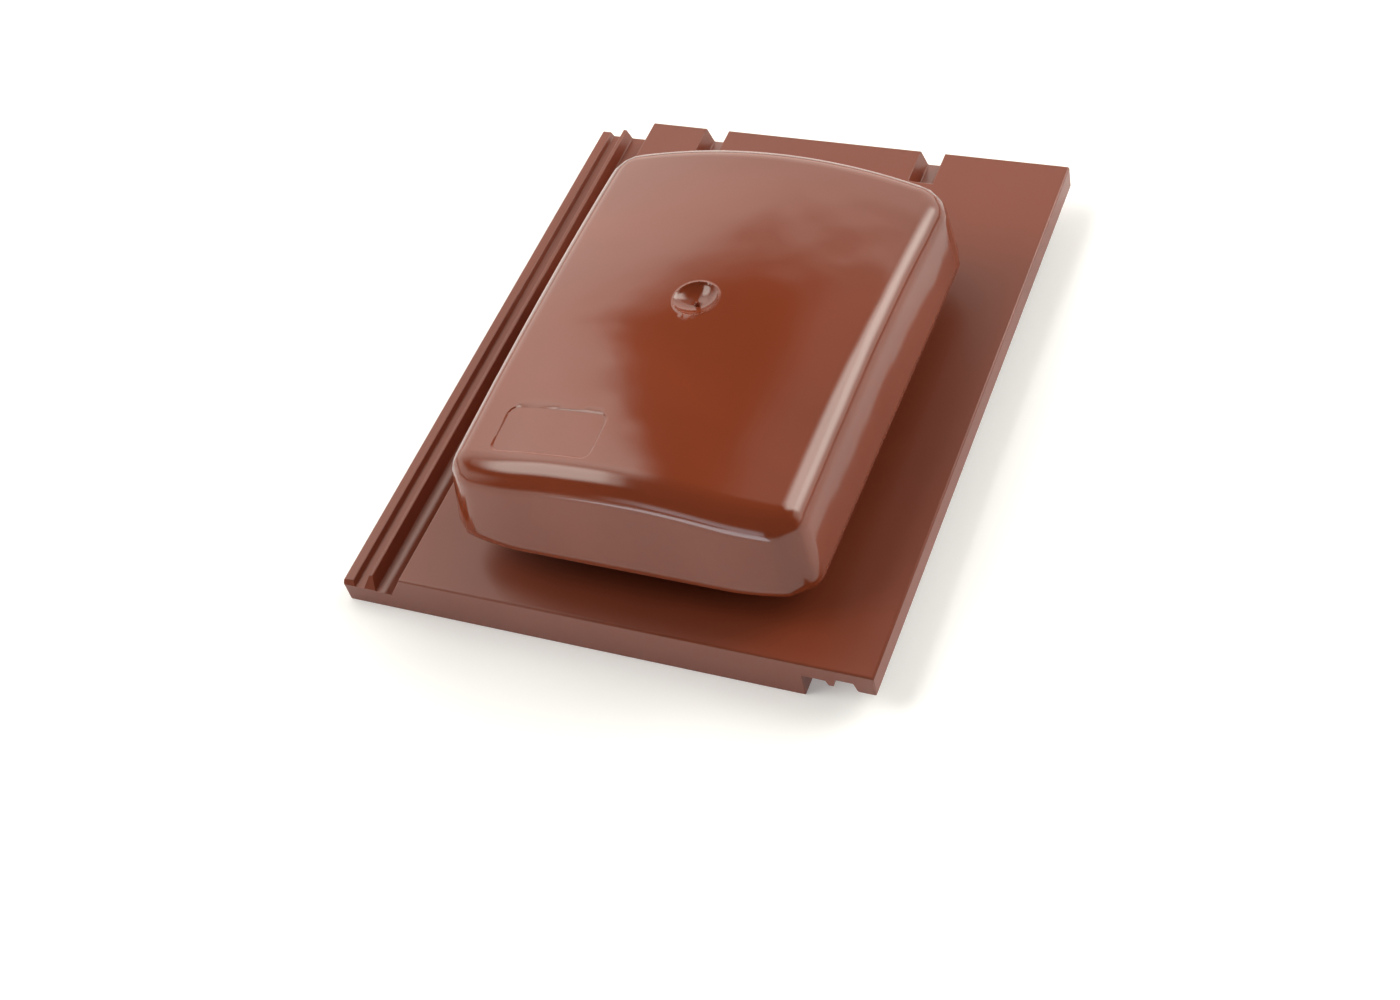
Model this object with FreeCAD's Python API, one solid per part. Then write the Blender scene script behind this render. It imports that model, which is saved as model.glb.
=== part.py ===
import FreeCAD, Part
import math
import os

os.makedirs("parts", exist_ok=True)

# Roof tile vent, in millimetres.
# X runs across the tile, Y runs up the roof from the nose to the head, Z is up.
# The origin is the middle of the tile's footprint, on the plane that it lies on.

# Tile moulding, overall
tile_length = 418.0
tile_width = 344.0
tile_height = 31.0
skin = 3.0                      # general wall of the moulding
nose_skin = 3.5                 # wall behind the front face
edge_round = 1.5                # rounding along the nose and the right-hand edge
fine_round = 0.8                # rounding of the smaller edges on top

# Side lock along the left edge
rim_width = 6.5                 # outer rim
rim_height = 17.5
drain_floor = 14.2              # narrow drain between rim and rib
drain_width = 6.0
rib_height = 21.2               # standing rib
rib_foot = 8.5
rib_crest = 2.2
gutter_floor = 13.9             # wide gutter beside the deck
gutter_width = 11.0
deck_edge = 44.2                # where the flat deck starts
lock_slope = 1.8                # sideways run of the small steps in the lock
lock_ramp = 7.0                 # length of the sloped rib ends at the nose
ramp_foot = 0.6                 # height of their foot above the drain

# Underlock along the right edge, laid out so that the next tile's side lock fits in it
overlap = 38.0                  # width of tile that the next one shares
lock_play = 6.0                 # room beside the next tile's rim
rim_gap = 1.5                   # clearance over the next tile's rim
rib_gap = 0.6                   # clearance over its rib
floor_gap = 1.0                 # clearance over its drain and gutter
hook_rib_width = 6.0            # small rib that stands in the next tile's drain
hook_rib_tip = 3.0
flap_play = 2.2                 # from the start of the next tile's gutter to the flap
flap_slope = 2.0

# Notches in the head
notch_centres = (93.0, 250.5)
notch_top = 18.0
notch_floor = 8.5
notch_depth = 11.5
notch_length = 20.0
notch_ramp = 10.0

# Underside
batten_step = 10.0              # the head end sits this much higher, on the batten
batten_zone = 100.0             # length of that raised end
nib_width = 34.0
nib_thick = 8.0
nib_spacing = 190.0
nib_setback = 44.0              # from the head to the face that bears on the batten
grid_rib = 2.2                  # low stiffening ribs under the deck
grid_depth = 5.0
grid_nose = 45.0                # first cross rib, from the nose
grid_before_batten = 10.0       # second, this far before the raised end
grid_before_nibs = 20.0         # third, this far before the nibs
grid_beside_throat = 26.0       # long ribs, this far from the throat

# Hood, measured from the deck
hood_centre_x = 17.6
hood_centre_y = -34.5
hood_half_width = 115.3
hood_front = 153.5              # centre to the lower front edge
hood_back = 152.4
hood_top = 92.0                 # top of the dome above the deck
gap_front = 25.0                # air gap under the lower edge
gap_back = 22.7
side_draft = 7.8                # degrees
front_draft = 8.0
back_draft = 8.3
dome_across = 15.5              # fall of the dome from the middle to the sides
dome_along = 6.0                # and over half the hood's length
dome_peak = -23.6               # the dome is highest a little in front of the middle
dome_reach = 30.0               # how far the dome's arcs are drawn past the walls
hood_wall = 2.8
shoulder = 20.0                 # rounding between dome and walls

# Hood outline in plan
front_bow_radius = 166.0
front_bow_turn = 12.6           # degrees
front_corner_low = 22.0         # radius at the lower edge
front_corner_high = 19.0        # and at the dome
side_taper = 0.7                # degrees, wider towards the head
back_corner_low = 32.0
back_corner_high = 16.0
back_bow_turn = 7.1             # degrees

# Details on the dome
gate_width = 27.0
gate_depth = 4.5
gate_rim = 0.8                  # fine raised rim, width
gate_rim_height = 0.35
nub_radius = 1.2
nub_height = 2.0
panel_centre = (-49.2, -110.8)
panel_size = (64.6, 33.0)
panel_corner = 6.0
panel_depth = 0.6

# Throat and the fixing of the hood
throat_width = 130.0
throat_length = 190.0
throat_corner = 8.0
throat_wall = 3.0
upstand = 34.0                  # above the deck
collar_bottom = 6.0             # lower end of the collar, above the ground
bar_width = 3.0
bar_gap = 4.6
bar_depth = 4.0
cross_bars = 3
socket_radius = 8.0
peg_radius = 3.6
peg_clearance = 0.15
peg_length = 14.0
socket_depth = 16.0
post_rib = 2.0
post_rib_depth = 12.0

# Derived places
left = -tile_width / 2
cover_width = tile_width - overlap              # from one tile to the next on a roof
drain_start = rim_width + lock_slope            # from the tile's left edge
gutter_start = drain_start + drain_width + rib_foot
gutter_end = gutter_start + gutter_width
wall_outside = left + cover_width - lock_play   # right-hand wall of the main hollow
hook_rib = left + cover_width + drain_start + (drain_width - hook_rib_width) / 2
flap = left + cover_width + gutter_start + flap_play
right = tile_width / 2
nose = -tile_length / 2
head = tile_length / 2
deck = tile_height
ceiling = tile_height - skin
seat = deck + upstand           # the hood's posts stand at this height
lip = 1.0                       # how far cutting tools run past a face
near = 0.01                     # two places this close are one


def vec(x, y, z):
    return FreeCAD.Vector(x, y, z)


def block(x0, x1, y0, y1, z0, z1):
    return Part.makeBox(x1 - x0, y1 - y0, z1 - z0, vec(x0, y0, z0))


def across_prism(points, y0, y1):
    """Solid with an X-Z outline, run along Y."""
    corners = [vec(x, y0, z) for x, z in points]
    face = Part.Face(Part.makePolygon(corners + corners[:1]))
    return face.extrude(vec(0, y1 - y0, 0))


def along_prism(points, x0, x1):
    """Solid with a Y-Z outline, run along X."""
    corners = [vec(x0, y, z) for y, z in points]
    face = Part.Face(Part.makePolygon(corners + corners[:1]))
    return face.extrude(vec(x1 - x0, 0, 0))


def rounded_block(centre, size, corner, z0, z1):
    """Block with rounded upright corners."""
    hx = size[0] / 2
    hy = size[1] / 2
    body = block(centre[0] - hx, centre[0] + hx, centre[1] - hy, centre[1] + hy, z0, z1)
    upright = [e for e in body.Edges if abs(e.Vertexes[0].Z - e.Vertexes[1].Z) > (z1 - z0) / 2]
    return body.makeFillet(corner, upright)


# The tile

def side_lock_outline():
    """Top of the side lock, from the outer rim to the edge of the deck."""
    crest = left + gutter_start - rib_foot / 2
    return [
        (left, rim_height),
        (left + rim_width, rim_height),
        (left + drain_start, drain_floor),
        (left + drain_start + drain_width, drain_floor),
        (crest - rib_crest / 2, rib_height),
        (crest + rib_crest / 2, rib_height),
        (left + gutter_start, gutter_floor),
        (left + gutter_end, gutter_floor),
        (left + deck_edge, deck),
    ]


def tile_block():
    """The tile as a full block under its top surface, with its long edges rounded."""
    outline = [(left, 0)] + side_lock_outline() + [(right, deck), (right, 0)]
    body = across_prism(outline, nose, head)
    body = body.makeFillet(edge_round, edges_where(body, y=nose, z=deck) + edges_where(body, x=right, z=deck))
    fine = []
    for x, z in side_lock_outline():
        fine += edges_where(body, x=x, z=z)
    fine += edges_where(body, y=head, z=deck)
    return body.makeFillet(fine_round, fine)


def edges_where(body, x=None, y=None, z=None):
    """Straight edges whose two ends lie at the given coordinates."""
    found = []
    for edge in body.Edges:
        ends = edge.Vertexes
        if x is not None and any(abs(v.X - x) > near for v in ends):
            continue
        if y is not None and any(abs(v.Y - y) > near for v in ends):
            continue
        if z is not None and any(abs(v.Z - z) > near for v in ends):
            continue
        found.append(edge)
    return found


def lock_end_ramp():
    """Slopes the rim and rib down to the nose."""
    foot = drain_floor + ramp_foot
    rise = rib_height + lip
    wedge = [(nose - lip, foot), (nose, foot), (nose + lock_ramp, rise), (nose - lip, rise)]
    return along_prism(wedge, left - lip, left + gutter_start)


def underlock_outline():
    """Space under the right-hand edge that takes the next tile's side lock."""
    inset = (hook_rib_width - hook_rib_tip) / 2
    tip = drain_floor + floor_gap
    edge = gutter_floor + floor_gap
    return [
        (wall_outside, -lip),
        (wall_outside, rim_height + rim_gap),
        (hook_rib, rim_height + rim_gap),
        (hook_rib + inset, tip),
        (hook_rib + inset + hook_rib_tip, tip),
        (hook_rib + hook_rib_width, rib_height + rib_gap),
        (flap, rib_height + rib_gap),
        (flap + flap_slope, edge),
        (right + lip, edge),
        (right + lip, -lip),
    ]


def main_hollow():
    """Hollow underside between the nose, the two side walls and the head."""
    outline = [
        (left + skin, -lip),
        (left + skin, gutter_floor - skin),
        (left + gutter_end + skin / 2, gutter_floor - skin),
        (left + deck_edge + skin / 2, ceiling),
        (wall_outside - skin, ceiling),
        (wall_outside - skin, -lip),
    ]
    return across_prism(outline, nose + nose_skin, head - skin)


def underlock_cores():
    """Hollows behind the nose that leave thin ribs in the underlock."""
    y0 = nose + nose_skin
    y1 = head - skin
    rib_mid = hook_rib + hook_rib_width / 2
    first = block(wall_outside, rib_mid - hook_rib_tip / 2, y0, y1, -lip, ceiling)
    second = block(rib_mid + hook_rib_tip / 2, flap, y0, y1, -lip, ceiling)
    third = block(flap + skin, right - skin, y0, y1, -lip, ceiling)
    return [first, second, third]


def head_step():
    """Lifts the underside at the head so that it sits on the batten."""
    return block(left - lip, right + lip, head - batten_zone, head + lip, -lip, batten_step)


def notch_cutter(offset):
    """One tapered notch, open at the head, with a ramp at its inner end."""
    x = left + offset
    floor = deck - notch_depth
    half_top = notch_top / 2
    half_floor = notch_floor / 2
    shape = [
        (x - half_floor - lip / 2, floor),
        (x + half_floor - lip / 2, floor),
        (x + half_top, deck + lip),
        (x - half_top, deck + lip),
    ]
    inner = head - notch_length - notch_ramp
    cut = across_prism(shape, inner - lip, head + lip)
    ramp = [
        (inner - 2 * lip, floor - lip),
        (head - notch_length, floor - lip),
        (head - notch_length, floor),
        (inner, deck),
        (inner, deck + 2 * lip),
        (inner - 2 * lip, deck + 2 * lip),
    ]
    return cut.cut(along_prism(ramp, x - notch_top, x + notch_top))


def notch_pocket(offset):
    """Thicker material that carries a notch."""
    x = left + offset
    half = notch_top / 2 + skin
    inner = head - notch_length - notch_ramp - skin
    return block(x - half, x + half, inner, head, deck - notch_depth - skin, deck - skin / 2)


def throat_tube():
    """Upstand and collar as one tube with its four socket towers."""
    centre = (hood_centre_x, hood_centre_y)
    size = (throat_width + 2 * throat_wall, throat_length + 2 * throat_wall)
    corner = throat_corner + throat_wall
    tube = rounded_block(centre, size, corner, collar_bottom, seat)
    towers = [tower(x, y) for x, y in socket_places()]
    return tube.fuse(towers)


def throat_hole():
    centre = (hood_centre_x, hood_centre_y)
    size = (throat_width, throat_length)
    return rounded_block(centre, size, throat_corner, collar_bottom - lip, seat + lip)


def socket_places():
    """Centres of the four sockets, outside the corners of the upstand."""
    dx = throat_width / 2 + socket_radius
    dy = throat_length / 2 - socket_radius
    return [(hood_centre_x + sx * dx, hood_centre_y + sy * dy) for sx in (-1, 1) for sy in (-1, 1)]


def tower(x, y):
    return Part.makeCylinder(socket_radius, seat - ceiling, vec(x, y, ceiling))


def socket_bore(x, y):
    radius = peg_radius + peg_clearance
    return Part.makeCylinder(radius, socket_depth + lip, vec(x, y, seat - socket_depth))


def grille():
    """Insect grille: bars along the throat, tied by cross bars."""
    y0 = hood_centre_y - throat_length / 2 - lip
    y1 = hood_centre_y + throat_length / 2 + lip
    pitch = bar_width + bar_gap
    count = int((throat_width - bar_gap) / pitch)
    start = hood_centre_x - (count - 1) * pitch / 2 - bar_width / 2
    bars = [block(start + i * pitch, start + i * pitch + bar_width, y0, y1, deck - bar_depth, deck)
            for i in range(count)]
    x0 = hood_centre_x - throat_width / 2 - lip
    x1 = hood_centre_x + throat_width / 2 + lip
    step = throat_length / (cross_bars + 1)
    for i in range(cross_bars):
        y = hood_centre_y - throat_length / 2 + (i + 1) * step
        bars.append(block(x0, x1, y - bar_width / 2, y + bar_width / 2, deck - bar_depth, deck))
    return bars


def stiffening_grid():
    """Low ribs under the deck, clear of the throat."""
    x0 = left + deck_edge
    x1 = wall_outside - skin / 2
    z0 = ceiling - grid_depth
    z1 = ceiling + lip
    ribs = []
    cross_places = (
        nose + grid_nose,
        head - batten_zone - grid_before_batten,
        head - nib_setback - grid_before_nibs,
    )
    for y in cross_places:
        ribs.append(block(x0, x1, y, y + grid_rib, z0, z1))
    beside = throat_width / 2 + grid_beside_throat
    for x in (hood_centre_x - beside - grid_rib, hood_centre_x + beside):
        ribs.append(block(x, x + grid_rib, nose + nose_skin / 2, head - skin / 2, z0, z1))
    return ribs


def nibs():
    """Two lugs under the head that hook over the batten."""
    y0 = head - nib_setback
    shapes = []
    for side in (-1, 1):
        x = side * nib_spacing / 2
        lug = [(y0, 0), (y0 + nib_thick, 0), (y0 + 2 * nib_thick, ceiling + lip), (y0, ceiling + lip)]
        shapes.append(along_prism(lug, x - nib_width / 2, x + nib_width / 2))
    return shapes


def make_tile_base():
    body = tile_block().cut(lock_end_ramp())
    body = body.cut(across_prism(underlock_outline(), nose - lip, head + lip))
    body = body.cut(main_hollow())
    body = body.cut(underlock_cores())
    body = body.cut(head_step())
    body = body.fuse(stiffening_grid() + nibs() + [notch_pocket(x) for x in notch_centres])
    body = body.cut([notch_cutter(x) for x in notch_centres])
    body = body.fuse(throat_tube()).cut(throat_hole())
    body = body.fuse(grille())
    body = body.cut([socket_bore(x, y) for x, y in socket_places()])
    return body.removeSplitter()


# The hood

def heading(turn):
    angle = math.radians(turn)
    return math.cos(angle), math.sin(angle)


def arc_step(start, radius, turn0, turn1):
    """End point of an arc that turns left from one heading to another, and its middle."""
    points = []
    for turn in ((turn0 + turn1) / 2, turn1):
        c0, s0 = heading(turn0)
        c1, s1 = heading(turn)
        points.append((start[0] + radius * (s1 - s0), start[1] + radius * (c0 - c1)))
    return points[0], points[1]


def hood_outline(half_width, front, back, corner, back_corner, z):
    """Closed plan outline: straight front, bowed ends, tapered sides, bowed back."""
    turn_side = 90.0 - side_taper
    turn_back = 180.0 - back_bow_turn
    bow_x, bow_y = arc_step((0, 0), front_bow_radius, 0, front_bow_turn)[1]
    turn_x, turn_y = arc_step((0, 0), corner, front_bow_turn, turn_side)[1]
    p0 = (half_width - bow_x - turn_x, -front)
    m1, p1 = arc_step(p0, front_bow_radius, 0, front_bow_turn)
    m2, p2 = arc_step(p1, corner, front_bow_turn, turn_side)
    dx, dy = arc_step((0, 0), back_corner, turn_side, turn_back)[1]
    rise = math.tan(math.radians(back_bow_turn / 2))
    cs, sn = heading(turn_side)
    side = (back - p2[1] - dy - (p2[0] + dx) * rise) / (sn + cs * rise)
    p3 = (p2[0] + side * cs, p2[1] + side * sn)
    m4, p4 = arc_step(p3, back_corner, turn_side, turn_back)
    edges = [line(mirror(p0), p0, z)]
    edges += [arc(p0, m1, p1, z), arc(p1, m2, p2, z), line(p2, p3, z), arc(p3, m4, p4, z)]
    edges += [arc(p4, (0, back), mirror(p4), z)]
    edges += [arc(mirror(p4), mirror(m4), mirror(p3), z), line(mirror(p3), mirror(p2), z)]
    edges += [arc(mirror(p2), mirror(m2), mirror(p1), z), arc(mirror(p1), mirror(m1), mirror(p0), z)]
    return Part.Wire(edges)


def mirror(point):
    return (-point[0], point[1])


def place(point, z):
    return vec(hood_centre_x + point[0], hood_centre_y + point[1], z)


def line(a, b, z):
    return Part.makeLine(place(a, z), place(b, z))


def arc(a, middle, b, z):
    return Part.Arc(place(a, z), place(middle, z), place(b, z)).toShape()


def hood_prism(grow):
    """Walls of the hood with their draft, from below the lower edge to above the dome."""
    low = deck + gap_back - 4 * lip
    high = deck + hood_top + 2 * lip
    corners = ((low, front_corner_low, back_corner_low), (high, front_corner_high, back_corner_high))
    wires = []
    for z, corner, back_corner in corners:
        up = z - deck - gap_front
        half = hood_half_width + grow - up * math.tan(math.radians(side_draft))
        front = hood_front + grow - up * math.tan(math.radians(front_draft))
        back = hood_back + grow - up * math.tan(math.radians(back_draft))
        wires.append(hood_outline(half, front, back, corner + grow, back_corner + grow, z))
    return Part.makeLoft(wires, True, True)


def arch_radius(half_span, rise):
    return (half_span ** 2 + rise ** 2) / (2 * rise)


def dome_section(top):
    """Arched section across the hood at its highest place."""
    reach = hood_half_width + dome_reach
    radius = arch_radius(hood_half_width, dome_across)
    side = top - radius + math.sqrt(radius ** 2 - reach ** 2)
    y = dome_peak
    curve = Part.Arc(place((-reach, y), side), place((0, y), top), place((reach, y), side))
    walls = [
        Part.makeLine(place((reach, y), side), place((reach, y), 0)),
        Part.makeLine(place((reach, y), 0), place((-reach, y), 0)),
        Part.makeLine(place((-reach, y), 0), place((-reach, y), side)),
    ]
    return Part.Face(Part.Wire([curve.toShape()] + walls))


def dome(top):
    """Solid under the dome: the arched section swung along the hood about a far axis."""
    radius = arch_radius(hood_front, dome_along)
    swing = math.degrees((hood_front + dome_reach) / radius)
    pivot = place((0, dome_peak), top - radius)
    section = dome_section(top)
    section.rotate(pivot, vec(1, 0, 0), -swing)
    return section.revolve(pivot, vec(1, 0, 0), 2 * swing)


def lower_edge_cutter():
    """Everything under the hood's lower edge, which slopes down a little to the back."""
    reach = 2 * hood_front
    mid = deck + (gap_front + gap_back) / 2
    slope = (gap_front - gap_back) / (hood_front + hood_back)
    y = hood_centre_y
    shape = [(y - reach, mid + reach * slope), (y + reach, mid - reach * slope), (y + reach, 0), (y - reach, 0)]
    return along_prism(shape, hood_centre_x - reach, hood_centre_x + reach)


def top_edges(body):
    """Edges where the dome meets the walls."""
    floor = deck + hood_top - dome_across - dome_along - 2 * shoulder
    found = []
    for edge in body.Edges:
        middle = edge.valueAt((edge.FirstParameter + edge.LastParameter) / 2)
        ends = edge.Vertexes
        level = min([middle.z] + [v.Z for v in ends])
        if level > floor:
            found.append(edge)
    return found


def hood_form():
    """Outside of the hood: drafted walls under a dome, with rounded shoulders."""
    body = hood_prism(0.0).common(dome(deck + hood_top))
    return body.makeFillet(shoulder, top_edges(body))


def hood_core():
    """Room inside the hood, one wall smaller all round, its shoulders cut off flat."""
    body = hood_prism(-hood_wall).common(dome(deck + hood_top - hood_wall))
    gap = (math.sqrt(2) - 1) * shoulder - (math.sqrt(2) - 1) * hood_wall
    return body.makeChamfer(math.sqrt(2) * gap, top_edges(body))


def gate_cutter():
    """Round dimple left by the moulding gate."""
    half = gate_width / 2
    radius = (half ** 2 + gate_depth ** 2) / (2 * gate_depth)
    return Part.makeSphere(radius, place((0, 0), deck + hood_top - gate_depth + radius))


def gate_ring():
    """Fine raised rim round the dimple, and the nub at its bottom."""
    top = deck + hood_top
    edge = gate_width / 2
    profile = [
        (edge - gate_rim / 2, top - lip),
        (edge - gate_rim / 4, top + gate_rim_height),
        (edge + gate_rim / 4, top + gate_rim_height),
        (edge + gate_rim, top - lip),
    ]
    corners = [place((r, 0), z) for r, z in profile]
    ring = Part.Face(Part.makePolygon(corners + corners[:1])).revolve(place((0, 0), top), vec(0, 0, 1), 360)
    nub = Part.makeCylinder(nub_radius, nub_height + lip, place((0, 0), top - gate_depth - lip))
    return [ring, nub]


def panel_cutter():
    """Shallow bare panel at the front left of the dome."""
    x = hood_centre_x + panel_centre[0]
    y = hood_centre_y + panel_centre[1]
    return rounded_block((x, y), panel_size, panel_corner, deck + gap_front, deck + hood_top)


def gate_boss():
    """Material behind the dimple, one wall thick."""
    top = deck + hood_top
    depth = gate_depth + hood_wall
    return Part.makeCylinder(gate_width / 2, depth + lip, place((0, 0), top - depth))


def posts():
    """Round posts under the dome that stand on the socket towers."""
    height = deck + hood_top - seat
    return [Part.makeCylinder(socket_radius, height, vec(x, y, seat)) for x, y in socket_places()]


def pegs():
    """Pins below the posts, pushed into the sockets."""
    length = peg_length + lip
    return [Part.makeCylinder(peg_radius, length, vec(x, y, seat - peg_length)) for x, y in socket_places()]


def post_ribs():
    """Ribs that tie the posts together under the dome."""
    xs = sorted({x for x, y in socket_places()})
    ys = sorted({y for x, y in socket_places()})
    z0 = deck + hood_top - dome_across - post_rib_depth
    z1 = deck + hood_top
    half = post_rib / 2
    ribs = [block(xs[0], xs[1], y - half, y + half, z0, z1) for y in ys]
    ribs += [block(x - half, x + half, ys[0], ys[1], z0, z1) for x in xs]
    return ribs


def make_hood():
    panel = panel_cutter().cut(dome(deck + hood_top - panel_depth))
    outside = hood_form().cut(panel)
    shell = outside.cut(hood_core()).cut(lower_edge_cutter())
    fittings = posts() + post_ribs() + [gate_boss()]
    fittings = fittings[0].fuse(fittings[1:]).common(dome(deck + hood_top - hood_wall / 2))
    body = shell.fuse([fittings] + pegs())
    body = body.cut(gate_cutter()).fuse(gate_ring())
    return body.removeSplitter()


make_tile_base().exportStep("parts/tile_base.step")
make_hood().exportStep("parts/hood.step")
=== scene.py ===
import math

import bmesh
import bpy
import numpy as np
from bpy.props import FloatProperty, FloatVectorProperty, PointerProperty
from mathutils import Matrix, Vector


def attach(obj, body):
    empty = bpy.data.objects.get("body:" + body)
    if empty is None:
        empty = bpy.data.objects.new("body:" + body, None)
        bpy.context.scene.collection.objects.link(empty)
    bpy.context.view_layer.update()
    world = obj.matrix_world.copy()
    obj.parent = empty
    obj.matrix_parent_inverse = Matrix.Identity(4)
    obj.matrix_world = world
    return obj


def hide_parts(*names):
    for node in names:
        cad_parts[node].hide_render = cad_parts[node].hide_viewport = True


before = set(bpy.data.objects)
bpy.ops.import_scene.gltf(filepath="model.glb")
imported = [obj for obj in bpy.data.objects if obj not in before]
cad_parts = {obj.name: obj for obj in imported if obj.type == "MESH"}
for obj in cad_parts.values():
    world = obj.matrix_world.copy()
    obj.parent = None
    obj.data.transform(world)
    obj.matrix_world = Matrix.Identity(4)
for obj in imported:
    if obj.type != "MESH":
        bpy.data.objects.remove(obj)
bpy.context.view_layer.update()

bl_info = {
    "name": "Roof tile vent",
    "version": (1, 0, 0),
    "blender": (4, 5, 0),
    "location": "View3D > Sidebar > Roof tile vent",
    "description": "Dresses a plastic roof tile with a raised ventilation hood, in a studio",
    "category": "Object",
}


# ---- sizes and colours that a user would change


def length(name, description, default):
    return FloatProperty(name=name, description=description, default=default, unit="LENGTH",
                         subtype="DISTANCE", precision=5)


def turn(name, description, degrees):
    return FloatProperty(name=name, description=description, default=math.radians(degrees),
                         subtype="ANGLE", unit="ROTATION")


def amount(name, description, default, highest):
    return FloatProperty(name=name, description=description, default=default, min=0.0, max=highest)


def colour(name, description, default):
    return FloatVectorProperty(name=name, description=description, default=default, size=3,
                               subtype="COLOR", min=0.0, max=1.0)


class TileVentHoodSizes(bpy.types.PropertyGroup):
    """Sizes of the hood, the same as in the solid model"""

    centre_x: length("Centre across", "Middle of the hood, across the tile", 0.0176)
    centre_y: length("Centre along", "Middle of the hood, along the tile", -0.0345)
    deck: length("Deck height", "Height of the tile's flat deck", 0.031)
    half_width: length("Half width", "Middle of the hood to its lower side edge", 0.1153)
    front: length("Front reach", "Middle of the hood to its lower front edge", 0.1535)
    back: length("Back reach", "Middle of the hood to its lower back edge", 0.1524)
    top: length("Height", "Top of the dome above the deck", 0.092)
    gap_front: length("Front gap", "Air gap under the front edge", 0.025)
    gap_back: length("Back gap", "Air gap under the back edge", 0.0227)
    side_draft: turn("Side draft", "Lean of the side walls", 7.8)
    front_draft: turn("Front draft", "Lean of the front wall", 8.0)
    back_draft: turn("Back draft", "Lean of the back wall", 8.3)
    dome_across: length("Dome fall across", "Fall of the dome from its middle to its sides", 0.0155)
    dome_along: length("Dome fall along", "Fall of the dome over half its length", 0.006)
    dome_peak: length("Dome peak", "Highest place of the dome, from the middle", -0.0236)
    wall: length("Wall", "Thickness of the moulding", 0.0028)
    shoulder: length("Shoulder radius", "Rounding between dome and walls", 0.020)
    bow_radius: length("Front bow radius", "Radius of the bowed ends of the front", 0.166)
    bow_turn: turn("Front bow turn", "How far the front bends back at each end", 12.6)
    corner_low: length("Front corner, low", "Corner radius at the lower edge", 0.022)
    corner_high: length("Front corner, high", "Corner radius at the dome", 0.019)
    taper: turn("Side taper", "How much each side opens towards the back", 0.7)
    back_corner_low: length("Back corner, low", "Corner radius at the lower edge", 0.032)
    back_corner_high: length("Back corner, high", "Corner radius at the dome", 0.016)
    back_turn: turn("Back bow turn", "How far the back bends forward at each end", 7.1)


class TileVentDomeDetails(bpy.types.PropertyGroup):
    """Marks on the dome"""

    gate_width: length("Gate dimple", "Width of the round moulding mark", 0.027)
    gate_depth: length("Gate depth", "Depth of the moulding mark", 0.0055)
    gate_rim: length("Gate rim", "Height of the fine rim round the mark", 0.00035)
    nub_radius: length("Nub radius", "Radius of the small nub in the mark", 0.0015)
    nub_height: length("Nub height", "Height of the small nub", 0.0024)
    panel_x: length("Panel across", "Middle of the bare panel, from the hood's middle", -0.0492)
    panel_y: length("Panel along", "Middle of the bare panel, from the hood's middle", -0.1108)
    panel_width: length("Panel width", "Width of the bare panel", 0.0646)
    panel_height: length("Panel height", "Height of the bare panel", 0.033)
    panel_corner: length("Panel corner", "Corner radius of the bare panel", 0.006)
    panel_depth: length("Panel depth", "How far the panel is let in", 0.0006)
    panel_edge: length("Panel edge", "Width of the soft edge round the panel", 0.0009)


class TileVentPostSizes(bpy.types.PropertyGroup):
    """Posts, pegs and ribs under the dome"""

    across: length("Spacing across", "Distance between the posts across the hood", 0.146)
    along: length("Spacing along", "Distance between the posts along the hood", 0.174)
    seat: length("Seat height", "Height at which the posts stand on the tile", 0.065)
    post_radius: length("Post radius", "Radius of a post", 0.008)
    peg_radius: length("Peg radius", "Radius of a peg", 0.0036)
    peg_length: length("Peg length", "How far a peg reaches into its socket", 0.014)
    rib: length("Rib thickness", "Thickness of the ribs between the posts", 0.002)
    rib_bottom: length("Rib bottom", "Height of the ribs' lower edge", 0.0955)


class TileVentPlasticLook(bpy.types.PropertyGroup):
    """Colour and finish of the moulded plastic"""

    base: colour("Plastic", "Colour of the plastic", (0.194, 0.0385, 0.0148))
    deep: colour("Deeper tone", "Tone of the denser flow streaks", (0.166, 0.0318, 0.0118))
    tile_gloss: amount("Tile roughness", "Roughness of the tile's clean surface", 0.35, 1.0)
    hood_gloss: amount("Hood roughness", "Roughness of the hood's clean surface", 0.09, 1.0)
    edge: length("Edge rounding", "Radius of the tile's long edges", 0.0007)
    wave: amount("Waviness", "Strength of the long, shallow waves", 0.6, 1.0)


class TileVentStudioLook(bpy.types.PropertyGroup):
    """Floor and lights of the studio"""

    floor: colour("Floor", "Colour of the floor", (0.86, 0.87, 0.87))
    light: colour("Light", "Tint of all the light", (1.0, 0.975, 0.9))
    cool: colour("Cool light", "Tint of the low lights in front", (0.78, 0.90, 1.0))
    floor_glow: amount("Floor glow", "Light that the floor gives of itself", 0.24, 2.0)
    room: amount("Dim room", "Brightness of the dim room", 0.05, 5.0)
    screens: amount("Screens", "Brightness of the soft screens behind and at the left", 2.15, 10.0)
    window: amount("Window", "Brightness of the tall window behind, at the right", 6.2, 50.0)
    softbox: amount("Softbox", "Brightness of the soft light high at the left", 6.2, 50.0)
    strip: amount("Low strip", "Brightness of the low strip in front", 3.0, 50.0)
    panel: FloatProperty(name="Low panel", description="Power of the light on the floor in front",
                         default=9.5, unit="POWER")


# ---- small helpers

SHARP_TURN = math.radians(35.0)     # an edge that turns by more than this stays crisp
SAME_PLACE = 1e-7                   # points of the hood closer than this are one


def smooth_object(name, mesh):
    """Puts a mesh into the scene as an object that is smooth but for its sharp edges."""
    mesh.shade_smooth()
    mesh.set_sharp_from_angle(angle=SHARP_TURN)
    made = bpy.data.objects.new(name, mesh)
    bpy.context.scene.collection.objects.link(made)
    return made


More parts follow.
